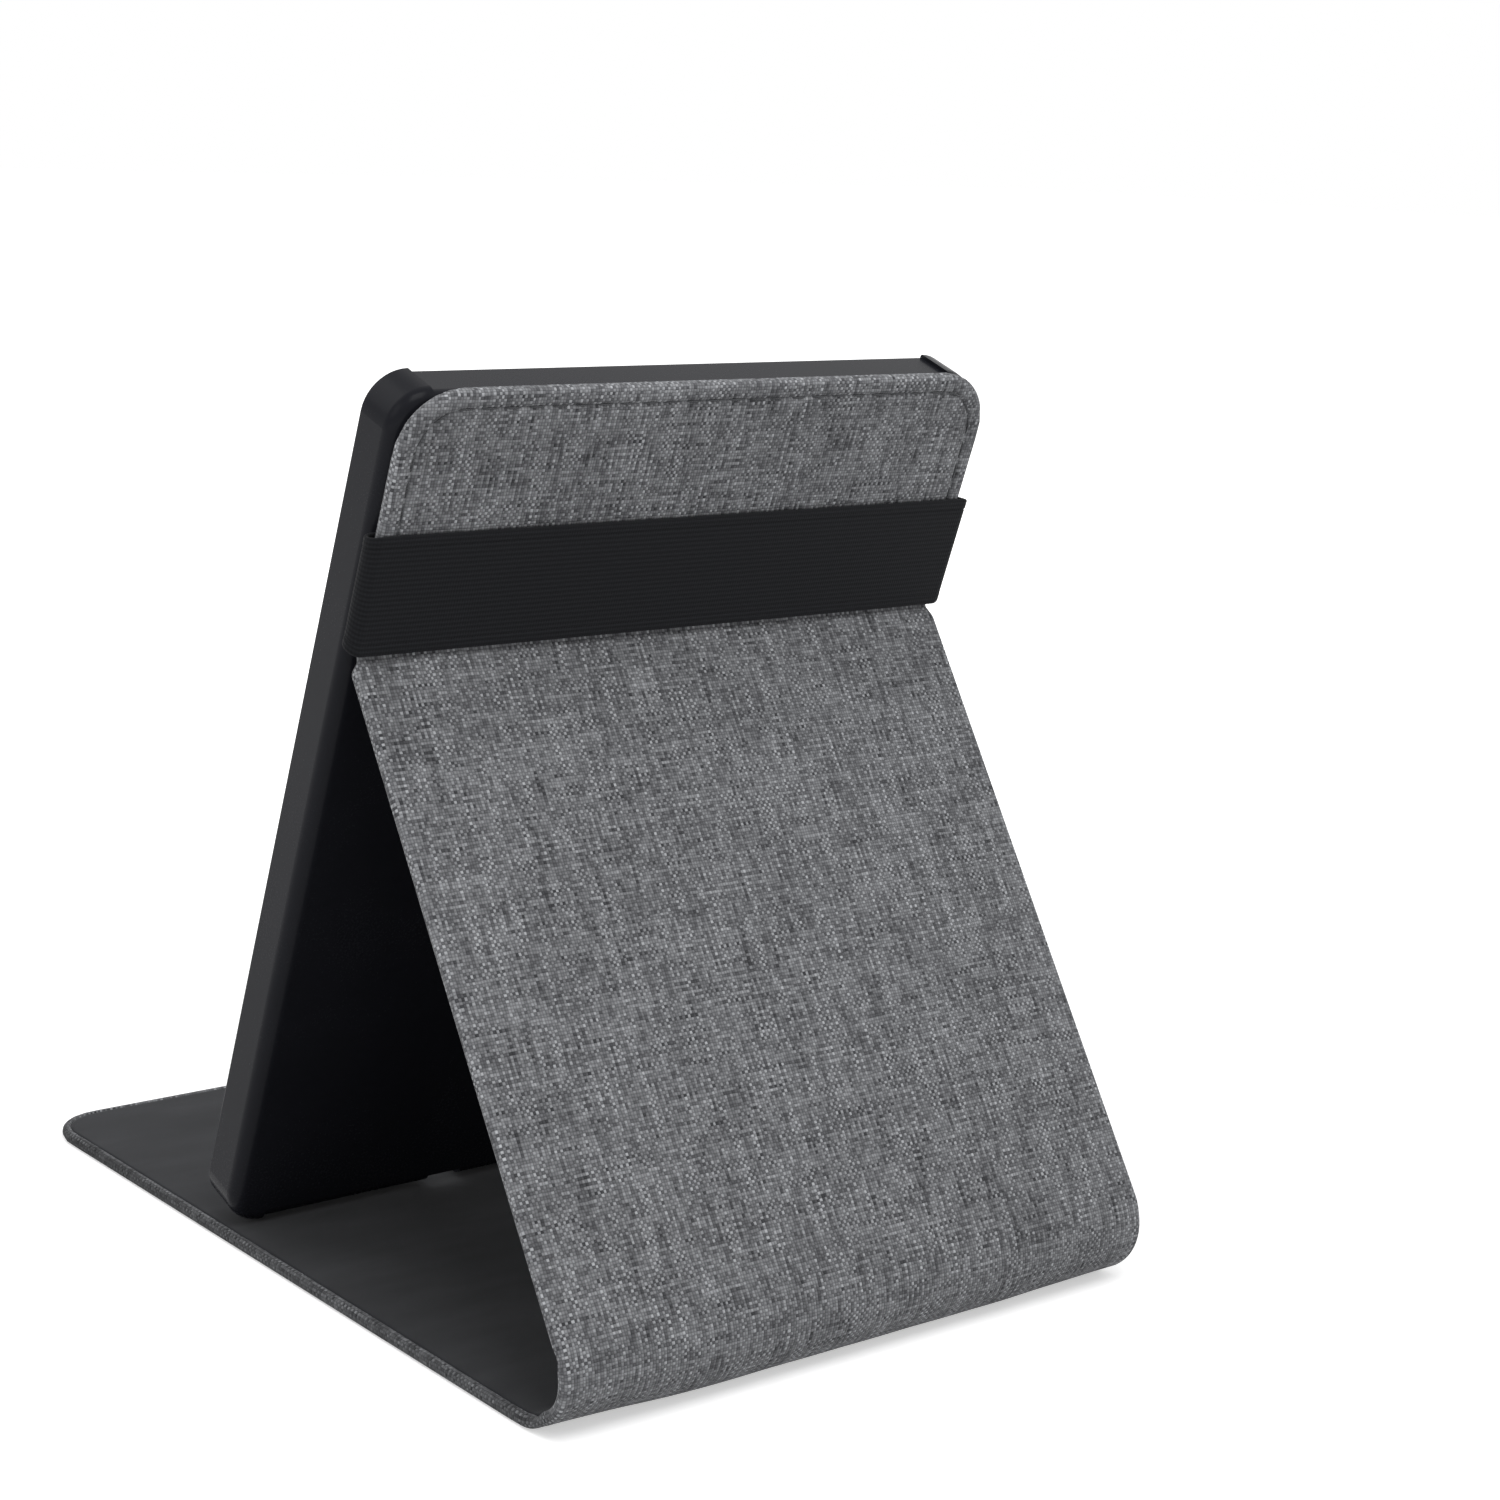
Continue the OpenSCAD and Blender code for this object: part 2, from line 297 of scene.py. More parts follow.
def rows_between(a, b):
    """Running lengths from a to b: close together where the panel bends, wider elsewhere."""
    fine = ((s_bow0 - 1.0, s_bow1 + 1.0, 0.45), (s_stand - 3.0, s_stand + 3.0, 0.3))
    marks = sorted({a, b} | {x for f in fine for x in f[:2] if a < x < b})
    out = [a]
    for p, q in zip(marks, marks[1:]):
        step = next((f[2] for f in fine if f[0] < (p + q) / 2 < f[1]), 3.0)
        out += spaced(p, q, step)[1:]
    return out


def rows_to_end(s0, s1, end, near, inset):
    """Running lengths from s0 to s1, with rows at the distances near from a free end."""
    rows = rows_between(s0, s1)
    if end is None:
        return rows
    inward = 1 if end < (s0 + s1) / 2 else -1
    rest = [r for r in rows if abs(r - end) > inset + near[-1] + 1.0]
    return sorted([end + inward * (inset + d) for d in near] + rest)


def edge_columns(near, middle):
    """(side, distance from that edge) for columns near an edge, (0, share) for the flat middle."""
    left = [(-1, d) for d in near]
    flat = [(0, share) for share in np.linspace(-1, 1, middle)[1:-1]]
    right = [(1, d) for d in reversed(near)]
    return left + flat + right


def unevenness(x, s):
    """Slight waves of bonded cloth, in mm."""
    return WAVE * (
        np.sin(x * 0.21 + 1.3) * np.sin(s * 0.17 + 0.4)
        + 0.6 * np.sin(x * 0.43 - s * 0.31 + 2.0)
        + 0.4 * np.sin(x * 0.11 + s * 0.53)
    )


def plan_grid(s0, s1, near, middle, corner_r=0.0, end=None, inset=0.0):
    """Lays a grid over a panel in plan, drawn in by inset from the fabric's edges.

    near holds the distances of the grid lines along an edge, and middle is the number of
    columns between. end is the running length of a free end with rounded corners, or None.
    Returns x, s, the distance d from the nearest edge, and the outward direction there.
    """
    rows = np.array(rows_to_end(s0, s1, end, near, inset))
    columns = edge_columns(near, middle)
    wide = half_width(rows) - inset
    x = np.zeros((len(rows), len(columns)))
    for j, (side, value) in enumerate(columns):
        x[:, j] = side * (wide - value) if side else value * (wide - near[-1])
    s = np.repeat(rows[:, None], len(columns), 1)
    away = np.abs(s - end) - inset if end is not None else np.full(x.shape, FAR)
    toward = 0.0 if end is None else (1.0 if end > rows.mean() else -1.0)
    side_d = wide[:, None] - np.abs(x)
    d = np.minimum(side_d, away)
    out_x = np.where(side_d <= away, np.sign(x), 0.0)
    out_s = np.where(side_d <= away, 0.0, toward)
    if corner_r:
        r = corner_r - inset
        a, b = r - side_d, r - away
        corner = (a > 0) & (b > 0)
        from_centre = np.maximum(np.hypot(a, b), TINY)
        scale = np.maximum(a, b) / from_centre
        x = np.where(corner, np.sign(x) * (wide[:, None] - r + a * scale), x)
        s = np.where(corner, end - toward * (inset + r - b * scale), s)
        out_x = np.where(corner, np.sign(x) * a / from_centre, out_x)
        out_s = np.where(corner, toward * b / from_centre, out_s)
    return x, s, d, out_x, out_s


def grid_faces(index, keep, flip):
    faces = []
    for i in range(index.shape[0] - 1):
        for j in range(index.shape[1] - 1):
            corners = [(i, j), (i, j + 1), (i + 1, j + 1), (i + 1, j)]
            if all(keep[c] for c in corners):
                faces.append(corners[::-1] if flip else corners)
    return faces


def case_points(x, s, depth):
    """Points in mm at running length s and the depth below the outer face, corners curled."""
    y, z = run.at(s, depth + curl(x, s))
    return np.stack([x, y, z], -1).reshape(-1, 3)


def shell_depths(x, s, d, groove):
    """Depth of the outer fabric's face outside, and of its hem inside."""
    t = thickness(s)
    outer = edge_drop(d, t) + unevenness(x, s) * ease(d / 3)
    if groove:
        pressed = ease((s - s_stand - 1.5) / 1.5)
        outer = outer + 0.3 * np.exp(-(((d - STITCH_INSET) / 0.32) ** 2)) * pressed
    inner = t - edge_drop(d, t)
    inner = inner - CUT_DROP * np.clip((d - HEM + 0.3) / 0.3, 0, 1) ** 2
    return outer, inner


def fabric_shell(name, s0, s1, corner_r=0.0, end=None, groove=False):
    """Outer fabric between two running lengths, turned round the edges into a hem inside."""
    x, s, d, out_x, out_s = plan_grid(s0, s1, NEAR_EDGE, 41, corner_r, end)
    hem = d <= HEM + 1e-6
    edge = d < 1e-6
    outer_index = np.arange(d.size).reshape(d.shape)
    inner_index = np.where(edge, outer_index, outer_index + d.size)
    points = np.concatenate([case_points(x, s, z) for z in shell_depths(x, s, d, groove)])
    way = over_edge(d)
    shift_out = d - (way - EDGE_EXTRA)
    shift_in = d + way + EDGE_EXTRA
    uv_out = np.stack([x + out_x * shift_out, s + out_s * shift_out], -1)
    uv_in = np.stack([x + out_x * shift_in, s + out_s * shift_in], -1)
    faces, uvs = [], []
    everywhere = np.ones(d.shape, bool)
    for index, keep, uv, flip in (
        (outer_index, everywhere, uv_out, True),
        (inner_index, hem, uv_in, False),
    ):
        for corners in grid_faces(index, keep, flip):
            faces.append([int(index[c]) for c in corners])
            uvs += [uv[c] for c in corners]
    # Painted highlight and painted shade for each point, the same outside and on the hem.
    painted_shading = np.concatenate([painted_cloth_shading(d, s).ravel()] * 2)
    faces = np.array(faces)
    used, renumbered = np.unique(faces, return_inverse=True)  # drops the points of no face
    return make_object(
        name, points[used], renumbered.reshape(faces.shape), uvs, painted_shading=painted_shading[used]
    )


def painted_cloth_shading(d, s):
    """Painted highlight on the edges from the spine on up, over the stand and upper panels, and
    painted shade on the cover's edges by the table, deeper towards its free end.

    The stand panel also gets painted shade just below the strap, across its width.
    """
    painted_shade_near_floor = -(0.45 + 0.25 * ease((s_bow0 - 50 - s) / 90)) * (1 - ease((s - s_bow0) / 12))
    painted_edge_highlight = 0.22 * ease((s - s_bow0 - 8) / 12)
    reach = 1.1 + 1.5 * ease((s - s_stand) / 2)
    painted_crease_shade = -0.15 * (1 - ease((s_stand - s) / 30)) * (s < s_stand)
    return (painted_shade_near_floor + painted_edge_highlight) * (1 - ease((d - 0.3) / reach)) + painted_crease_shade


def lining_sheet(name, s0, s1, corner_r=0.0, end=None):
    """Lining between the hems, its cut edge rounded down to the board."""
    x, s, d = plan_grid(s0, s1, NEAR_LINING, 33, corner_r, end, HEM + LINING_GAP)[:3]
    depth = thickness(s) - 0.05 - CUT_DROP * (1 - np.clip(d / 0.28, 0, 1)) ** 2
    depth = depth + 0.25 * unevenness(x + 31, s) * ease(d / 3)
    index = np.arange(d.size).reshape(d.shape)
    faces, uvs = [], []
    for corners in grid_faces(index, np.ones(d.shape, bool), False):
        faces.append([int(index[c]) for c in corners])
        uvs += [(x[c], s[c]) for c in corners]
    return make_object(name, case_points(x, s, depth), faces, uvs)


# ---------------------------------------------------------------- shader building


class Shader:
    """A Principled material with short ways to add the nodes that drive it."""

    def __init__(self, name, **settings):
        self.material = bpy.data.materials.new(name)
        self.material.use_nodes = True
        self.tree = self.material.node_tree
        self.bsdf = self.tree.nodes["Principled BSDF"]
        for key, value in settings.items():
            self.bsdf.inputs[key.replace("_", " ")].default_value = value

    def link(self, value, socket):
        if isinstance(value, bpy.types.NodeSocket):
            self.tree.links.new(value, socket)
        else:
            socket.default_value = value

    def math(self, operation, a, b=0.0, c=0.0):
        node = self.tree.nodes.new("ShaderNodeMath")
        node.operation = operation
        for socket, value in zip(node.inputs, (a, b, c)):
            self.link(value, socket)
        return node.outputs[0]

    def uv(self):
        node = self.tree.nodes.new("ShaderNodeUVMap")
        node.uv_map = "Cloth"
        split = self.tree.nodes.new("ShaderNodeSeparateXYZ")
        self.tree.links.new(node.outputs[0], split.inputs[0])
        return split.outputs[0], split.outputs[1]

    def place(self):
        """Coordinates in the row frame, in metres."""
        return self.tree.nodes.new("ShaderNodeTexCoord").outputs["Object"]

    def joined(self, x, y, z=0.0):
        node = self.tree.nodes.new("ShaderNodeCombineXYZ")
        for socket, value in zip(node.inputs, (x, y, z)):
            self.link(value, socket)
        return node.outputs[0]

    def noise(self, vector, scale=1.0, detail=2.0, roughness=0.5):
        node = self.tree.nodes.new("ShaderNodeTexNoise")
        self.link(vector, node.inputs["Vector"])
        node.inputs["Scale"].default_value = scale
        node.inputs["Detail"].default_value = detail
        node.inputs["Roughness"].default_value = roughness
        return node.outputs[0]

    def attribute(self, name):
        node = self.tree.nodes.new("ShaderNodeAttribute")
        node.attribute_name = name
        return node.outputs["Fac"]

    def random(self, x, y):
        """A number from 0 to 1 for each whole x and y."""
        node = self.tree.nodes.new("ShaderNodeTexWhiteNoise")
        node.noise_dimensions = "2D"
        self.link(self.joined(x, y), node.inputs["Vector"])
        return node.outputs["Value"]

    def ramp(self, value, *stops):
        """stops are (position, grey) or (position, (r, g, b)) pairs."""
        node = self.tree.nodes.new("ShaderNodeValToRGB")
        self.link(value, node.inputs[0])
        elements = node.color_ramp.elements
        while len(elements) < len(stops):
            elements.new(0.5)
        for element, (position, colour) in zip(elements, stops):
            if not isinstance(colour, tuple):
                colour = (colour, colour, colour)
            element.position = position
            element.color = (*colour, 1)
        return node.outputs[0]

    def product(self, a, b):
        """Two colours multiplied."""
        node = self.tree.nodes.new("ShaderNodeMix")
        node.data_type = "RGBA"
        node.blend_type = "MULTIPLY"
        node.inputs[0].default_value = 1.0
        self.link(a, node.inputs[6])  # sockets 6 and 7 and output 2 are those for colours
        self.link(b, node.inputs[7])
        return node.outputs[2]

    def span(self, value, low, high, to_low, to_high):
        node = self.tree.nodes.new("ShaderNodeMapRange")
        for socket, v in zip(node.inputs, (value, low, high, to_low, to_high)):
            self.link(v, socket)
        return node.outputs[0]

    def bump(self, height, distance, strength=1.0):
        node = self.tree.nodes.new("ShaderNodeBump")
        node.inputs["Strength"].default_value = strength
        node.inputs["Distance"].default_value = distance
        self.link(height, node.inputs["Height"])
        self.link(node.outputs[0], self.bsdf.inputs["Normal"])

    def colour(self, value):
        self.link(value, self.bsdf.inputs["Base Color"])

    def rough(self, value):
        self.link(value, self.bsdf.inputs["Roughness"])


def melange_fabric():
    """Plain weave of yarns that are mottled along their length and not quite straight."""
    sh = Shader(
        "melange_fabric", Specular_IOR_Level=0.1, Sheen_Weight=0.08, Sheen_Roughness=0.6
    )
    pitch, wander = 0.54, 0.45  # mm from yarn to yarn, and how far one strays from straight
    u, v = sh.uv()
    cells = []
    for a, b, offset in ((u, v, 11.0), (v, u, 83.0)):
        across, along = sh.math("MULTIPLY", a, 0.9), sh.math("MULTIPLY_ADD", b, 0.22, offset)
        stray = sh.noise(sh.joined(across, along), 1.0, 2.0, 0.5)
        cells.append(sh.math("DIVIDE", sh.math("MULTIPLY_ADD", stray, wander, a), pitch))
    iu, iv = (sh.math("FLOOR", a) for a in cells)
    fu, fv = (sh.math("FRACT", a) for a in cells)
    yarns = []
    for thread, along, offset in ((iu, v, 3.1), (iv, u, 57.7)):
        own = sh.math("MULTIPLY_ADD", thread, 7.313, offset)
        yarns.append(sh.noise(sh.joined(own, sh.math("MULTIPLY", along, 0.09)), 1.0, 5.0, 0.66))
    over = sh.math("MODULO", sh.math("ABSOLUTE", sh.math("ADD", iu, iv)), 2.0)
    warp = sh.math("MULTIPLY_ADD", yarns[0], 1.3, -0.11)
    weft = sh.math("MULTIPLY_ADD", yarns[1], 0.75, 0.085)
    top = sh.math("MULTIPLY_ADD", over, sh.math("SUBTRACT", warp, weft), weft)
    fleck = sh.math("MULTIPLY_ADD", sh.random(iu, iv), 0.15, -0.075)
    patch = sh.span(sh.noise(sh.joined(u, v), 0.07, 2.0, 0.5), 0.3, 0.7, -0.018, 0.018)
    shade = sh.math("ADD", sh.math("ADD", top, fleck), patch)
    yarn = sh.ramp(
        shade,
        (0.30, (0.040, 0.041, 0.045)),
        (0.43, (0.120, 0.122, 0.130)),
        (0.55, (0.226, 0.231, 0.242)),
        (0.75, (0.430, 0.440, 0.460)),
    )
    hump_u, hump_v = (sh.math("SINE", sh.math("MULTIPLY", f, math.pi)) for f in (fu, fv))
    relief = sh.math("POWER", sh.math("MULTIPLY", hump_u, hump_v), 0.6)
    fibre = sh.noise(sh.joined(u, v), 9.0, 2.0, 0.6)
    # The yarn colour is scaled by the painted highlight and painted shade from the mesh attribute,
    # and darkened as painted shade in the gaps between yarns.
    rim = sh.math("ADD", sh.attribute("painted_shading"), 1.0)
    lit = sh.math("MULTIPLY", sh.span(relief, 0.0, 1.0, 0.55, 1.08), rim)
    sh.colour(sh.product(yarn, sh.joined(lit, lit, lit)))
    sh.rough(sh.span(fibre, 0.3, 0.7, 0.82, 0.98))
    height = sh.math("ADD", relief, sh.math("MULTIPLY", fibre, 0.35))
    sh.bump(height, 0.0001, 0.8)
    return sh.material


def lining_cloth():
    """Short-napped microfibre: an even dark grey, brushed lighter and darker in places."""
    sh = Shader(
        "lining_cloth", Specular_IOR_Level=0.08, Sheen_Weight=0.12, Sheen_Roughness=0.5
    )
    u, v = sh.uv()
    at = sh.joined(u, v)
    nap = sh.noise(at, 5.0, 3.0, 0.65)
    brushed = sh.noise(sh.joined(sh.math("MULTIPLY", u, 0.35), v), 0.09, 3.0, 0.55)
    shade = sh.math("ADD", sh.math("MULTIPLY", nap, 0.5), sh.math("MULTIPLY", brushed, 0.5))
    sh.colour(
        sh.ramp(
            shade,
            (0.32, (0.0225, 0.0235, 0.0262)),
            (0.50, (0.0340, 0.0352, 0.0388)),
            (0.68, (0.0500, 0.0515, 0.0560)),
        )
    )
    sh.rough(sh.span(nap, 0.3, 0.7, 0.86, 1.0))
    sh.bump(nap, 0.00007, 0.6)
    return sh.material


def elastic():
    """Black elastic: fine ribs along its length, crossed by finer courses."""
    sh = Shader("elastic", Specular_IOR_Level=0.08, Sheen_Weight=0.04, Sheen_Roughness=0.5)
    rib_pitch, course_pitch = 0.84, 0.5  # mm
    u, v = sh.uv()
    rib = sh.math("SINE", sh.math("MULTIPLY", v, 2 * math.pi / rib_pitch))
    course = sh.math("SINE", sh.math("MULTIPLY", u, 2 * math.pi / course_pitch))
    field = sh.math("MULTIPLY_ADD", course, 0.3, rib)
    fuzz = sh.noise(sh.joined(u, v), 4.0, 3.0, 0.6)
    shade = sh.math("MULTIPLY_ADD", fuzz, 0.6, sh.span(field, -1.3, 1.3, 0.0, 0.4))
    sh.colour(
        sh.ramp(
            shade,
            (0.25, (0.0070, 0.0074, 0.0086)),
            (0.50, (0.0110, 0.0115, 0.0132)),
            (0.75, (0.0175, 0.0182, 0.0205)),
        )
    )
    sh.rough(sh.span(fuzz, 0.3, 0.7, 0.75, 0.95))
    sh.bump(field, 0.00006, 0.6)
    return sh.material


def moulded_plastic():
    """Near-black moulding with a fine spark-eroded grain."""
    sh = Shader("moulded_plastic", Specular_IOR_Level=0.055)
    at = sh.place()
    grain = sh.noise(at, 2600.0, 3.0, 0.6)
    cloud = sh.noise(at, 45.0, 3.0, 0.5)
    sh.colour(
        sh.ramp(
            cloud, (0.30, (0.0115, 0.0120, 0.0152)), (0.70, (0.0138, 0.0143, 0.0180))
        )
    )
    mixed = sh.math("MULTIPLY_ADD", cloud, 0.6, grain)
    sh.rough(sh.span(mixed, 0.5, 1.1, 0.20, 0.30))
    sh.bump(grain, 0.000012, 0.5)
    return sh.material


def greyboard():
    """Pressed paper board, dyed dark: flecks of fibre in a flat grey."""
    sh = Shader("greyboard", Specular_IOR_Level=0.1)
    at = sh.place()
    fleck = sh.noise(at, 900.0, 4.0, 0.7)
    sh.colour(
        sh.ramp(
            fleck,
            (0.30, (0.012, 0.012, 0.013)),
            (0.55, (0.022, 0.022, 0.023)),
            (0.75, (0.036, 0.036, 0.038)),
        )
    )
    sh.rough(sh.span(fleck, 0.3, 0.7, 0.8, 0.95))
    sh.bump(fleck, 0.00003, 0.5)
    return sh.material


def foam_tape():
    """Black double-sided foam tape: open cells along its cut edge."""
    sh = Shader("foam_tape", Specular_IOR_Level=0.1)
    at = sh.place()
    cells = sh.noise(at, 3500.0, 2.0, 0.5)
    sh.colour(sh.ramp(cells, (0.3, (0.011, 0.011, 0.012)), (0.7, (0.024, 0.024, 0.025))))
    sh.rough(sh.span(cells, 0.3, 0.7, 0.75, 0.95))
    sh.bump(cells, 0.00003, 0.6)
    return sh.material


def nickel():
    """Nickel plating of the magnet, lightly brushed."""
    sh = Shader("nickel", Metallic=1.0)
    at = sh.place()
    brushed = sh.noise(at, 1500.0, 2.0, 0.5)
    sh.colour(sh.ramp(brushed, (0.3, (0.52, 0.5, 0.47)), (0.7, (0.63, 0.61, 0.58))))
    sh.rough(sh.span(brushed, 0.3, 0.7, 0.22, 0.38))
    return sh.material


def sewing_thread():
    """Twisted grey thread: the twist shows as slanting bands."""
    sh = Shader("sewing_thread", Specular_IOR_Level=0.35, Sheen_Weight=0.1)
    u, v = sh.uv()
    twist = sh.math("SINE", sh.math("MULTIPLY", sh.math("ADD", u, v), 14.0))
    fuzz = sh.noise(sh.joined(u, v), 3.0, 2.0, 0.5)
    shade = sh.math("MULTIPLY_ADD", twist, 0.18, fuzz)
    sh.colour(sh.ramp(shade, (0.3, (0.030, 0.031, 0.034)), (0.7, (0.080, 0.082, 0.088))))
    sh.rough(sh.span(fuzz, 0.3, 0.7, 0.7, 0.9))
    sh.bump(twist, 0.00003, 0.5)
    return sh.material


def dress(obj, material):
    obj.data.materials.clear()
    obj.data.materials.append(material)
    return obj


# ---------------------------------------------------------------- soft pieces

MELANGE, LINING, BOARD = melange_fabric(), lining_cloth(), greyboard()
s_split = s_stand - 14.0  # where the second length of fabric meets the third
s_lining = s_stand - 0.5  # where the lining ends, inside the stand crease
wrap = PANEL_T + HEM  # cloth turned round an edge and glued down inside
cut_width = 2 * (panel_half + wrap)
lining_width = 2 * (panel_half - HEM)


def cloth(obj, kind, nodes):
    """Dresses a piece of kind (material, slot, width in mm) and hides the CAD nodes that it stands
    for.
    """
    material, slot, width = kind
    dress(obj, material)
    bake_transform(obj)
    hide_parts(*nodes)


OUTSIDE = (MELANGE, "melange_fabric", cut_width)
INSIDE = (LINING, "lining", lining_width)

cloth(
    fabric_shell("cover_outer_fabric", 0.0, s_seam, COVER_R, end=0.0),
    OUTSIDE,
    ("cover_fabric", "spine_fabric"),
)
cloth(
    fabric_shell("back_outer_fabric", s_seam, s_split),
    OUTSIDE,
    ("spine_fabric", "lower_panel_fabric"),
)
cloth(
    fabric_shell(
        "upper_outer_fabric", s_split, run.length, UPPER_R, end=run.length, groove=True
    ),
    OUTSIDE,
    ("lower_panel_fabric", "upper_panel_fabric"),
)
cloth(
    lining_sheet("cover_inner_lining", 0.0, s_seam, COVER_R, end=0.0),
    INSIDE,
    ("cover_lining", "spine_lining"),
)
cloth(
    lining_sheet("back_inner_lining", s_seam, s_lining),
    INSIDE,
    ("spine_lining", "lower_panel_lining"),
)


def stiffener():
    """The spine's strip of board, bowed with the fabric round it."""
    wide = box_mm("spine_board")[1][0]
    rows = spaced(s_cover + 1.8, s_seam - 0.1, 0.45)
    columns = [-wide, -wide + 0.15] + spaced(-wide + 2, wide - 2, 8.0) + [wide - 0.15, wide]
    n, m = len(rows), len(columns)
    points = []
    x, s = np.tile(columns, n), np.repeat(rows, m)
    for depth in BOARD_DEPTH:
        y, z = run.at(s, depth + curl(x, s))
        points.append(np.stack([x - np.sign(x) * 0.35 * at_bow_corner(s), y, z], -1))
    outer = np.arange(n * m).reshape(n, m)
    inner = outer + n * m
    faces = []
    everywhere = np.ones((n, m), bool)
    for index, flip in ((outer, True), (inner, False)):
        faces += [[int(index[c]) for c in q] for q in grid_faces(index, everywhere, flip)]
    rim = [*outer[0, :], *outer[1:, -1], *outer[-1, -2::-1], *outer[-2:0:-1, 0]]
    for a, b in zip(rim, rim[1:] + rim[:1]):
        faces.append([int(a), int(b), int(b) + n * m, int(a) + n * m])
    return make_object("spine_stiffener", np.concatenate(points), faces, smooth=False)


strip = dress(stiffener(), BOARD)
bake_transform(strip)
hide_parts("spine_board")


def on_tray(x, up, depth):
    """Points given across the panel, up from the stand crease and in from its outer face."""
    h = headings[3]
    y = creases[2][0] + math.cos(h) * up - math.sin(h) * depth
    z = creases[2][1] + math.sin(h) * up + math.cos(h) * depth
    return np.stack(np.broadcast_arrays(x, y, z), -1)


def along(points):
    """The distance run from the first of a line of points to each of them."""
    return np.concatenate([[0], np.cumsum(np.hypot(*np.diff(points, axis=0).T))])


def strap_line():
    """Points along the band as (x, depth, normal x, normal depth), and how far each is turned.

    It starts behind the panel, turns round the +X edge, crosses the outer face and ends behind.
    """
    mid_z = (PANEL_T - STRAP_GAP) / 2
    r = (PANEL_T + STRAP_GAP + STRAP_T) / 2
    tail = tray_half - STRAP_TAIL
    steps = 16
    line, turned = [], []
    for side in (1, -1):
        half_line, half_turn = [], []
        for x in spaced(tail, tray_half, 3.0):
            half_line.append((side * x, mid_z + r, 0.0, 1.0))
            half_turn.append(1.0)
        for k in range(1, steps + 1):
            sine, cosine = math.sin(math.pi * k / steps), math.cos(math.pi * k / steps)
            place = (side * (tray_half + r * sine), mid_z + r * cosine)
            half_line.append((*place, side * sine, cosine))
            half_turn.append(1 - k / steps)
        for x in spaced(tray_half, 0, 2.5)[1:]:
            half_line.append((side * x, mid_z - r, 0.0, -1.0))
            half_turn.append(0.0)
        if side < 0:
            half_line, half_turn = half_line[::-1][1:], half_turn[::-1][1:]
        line += half_line
        turned += half_turn
    return np.array(line), np.array(turned)


def strap_faces(d):
    """Half thicknesses of the band at distance d from its edge: outer side, inner side."""
    edge_r, cord, groove, groove_w = 0.42, 1.98, 0.17, 0.14
    rounded = STRAP_T / 2 * (1 - np.clip(1 - d / edge_r, 0, 1) ** 2.2) ** 0.5
    outer = rounded - groove * np.exp(-(((d - cord) / groove_w) ** 2))
    return outer - 0.05 * ease((d - 2.0) / 0.4), rounded - 0.03


def hand_strap():
    """Elastic band round the upper panel, with a corded selvedge along both edges."""
    line, turned = strap_line()
    way = along(line[:, :2])
    way -= way[-1] / 2
    edge = [0, 0.06, 0.16, 0.32, 0.55, 0.9, 1.3, 1.6, 1.78, 1.92, 2.05, 2.2, 2.4, 2.8]
    across = np.array(edge + spaced(4.0, STRAP_W - 4.0, 2.0) + [STRAP_W - e for e in edge[::-1]])
    height, under = strap_faces(np.minimum(across, STRAP_W - across))
    most = 0.95  # by which each edge is drawn in where the band has turned behind
    drawn_in = most * np.sin(np.clip(turned * 1.25, 0, 1) * math.pi / 2) ** 1.5
    centre = STRAP_OFFSET + STRAP_W / 2
    squeeze = 1 - 2 * drawn_in / STRAP_W
    up = centre + (across[None, :] - STRAP_W / 2) * squeeze[:, None]
    sheets = []
    for sign, profile in ((1, height), (-1, under)):
        x = line[:, 0:1] + sign * line[:, 2:3] * profile[None, :]
        depth = line[:, 1:2] + sign * line[:, 3:4] * profile[None, :]
        sheets.append(on_tray(x, up, depth).reshape(-1, 3))
    points = np.concatenate(sheets)
    n, m = len(line), len(across)
    outer = np.arange(n * m).reshape(n, m)
    inner = outer + n * m
    inner[:, 0], inner[:, -1] = outer[:, 0], outer[:, -1]
    faces, uvs = [], []
    for index, flip in ((outer, False), (inner, True)):
        for corners in grid_faces(index, np.ones((n, m), bool), flip):
            faces.append([int(index[c]) for c in corners])
            uvs += [(way[i], across[j]) for i, j in corners]
    for i, flip in ((0, False), (n - 1, True)):
        for j in range(1, m - 1):
            quad = [outer[i, j], outer[i, j + 1], inner[i, j + 1], inner[i, j]]
            if len(set(map(int, quad))) == 4:
                faces.append([int(q) for q in (quad[::-1] if flip else quad)])
                uvs += [(way[i], across[j])] * 4
    return make_object("elastic_hand_strap", points, faces, uvs)


strap = dress(hand_strap(), elastic())
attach(strap, "tray")
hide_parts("hand_strap")


def stitch_route():
    """The sewn line round the upper panel as (x, distance up from the stand crease) points."""
    r = UPPER_R - STITCH_INSET
    side = tray_half - STITCH_INSET
    top = UPPER_LEN - STITCH_INSET
    half = [(-side, u) for u in spaced(2.5, top - r, 0.5)]
    half += [
        (-side + r - r * math.cos(a), top - r + r * math.sin(a))
        for a in np.linspace(0, math.pi / 2, 24)[1:]
    ]
    middle = [(x, top) for x in spaced(-side + r, side - r, 0.5)[1:]]
    return np.array(half + middle + [(-x, u) for x, u in half[::-1][1:]])


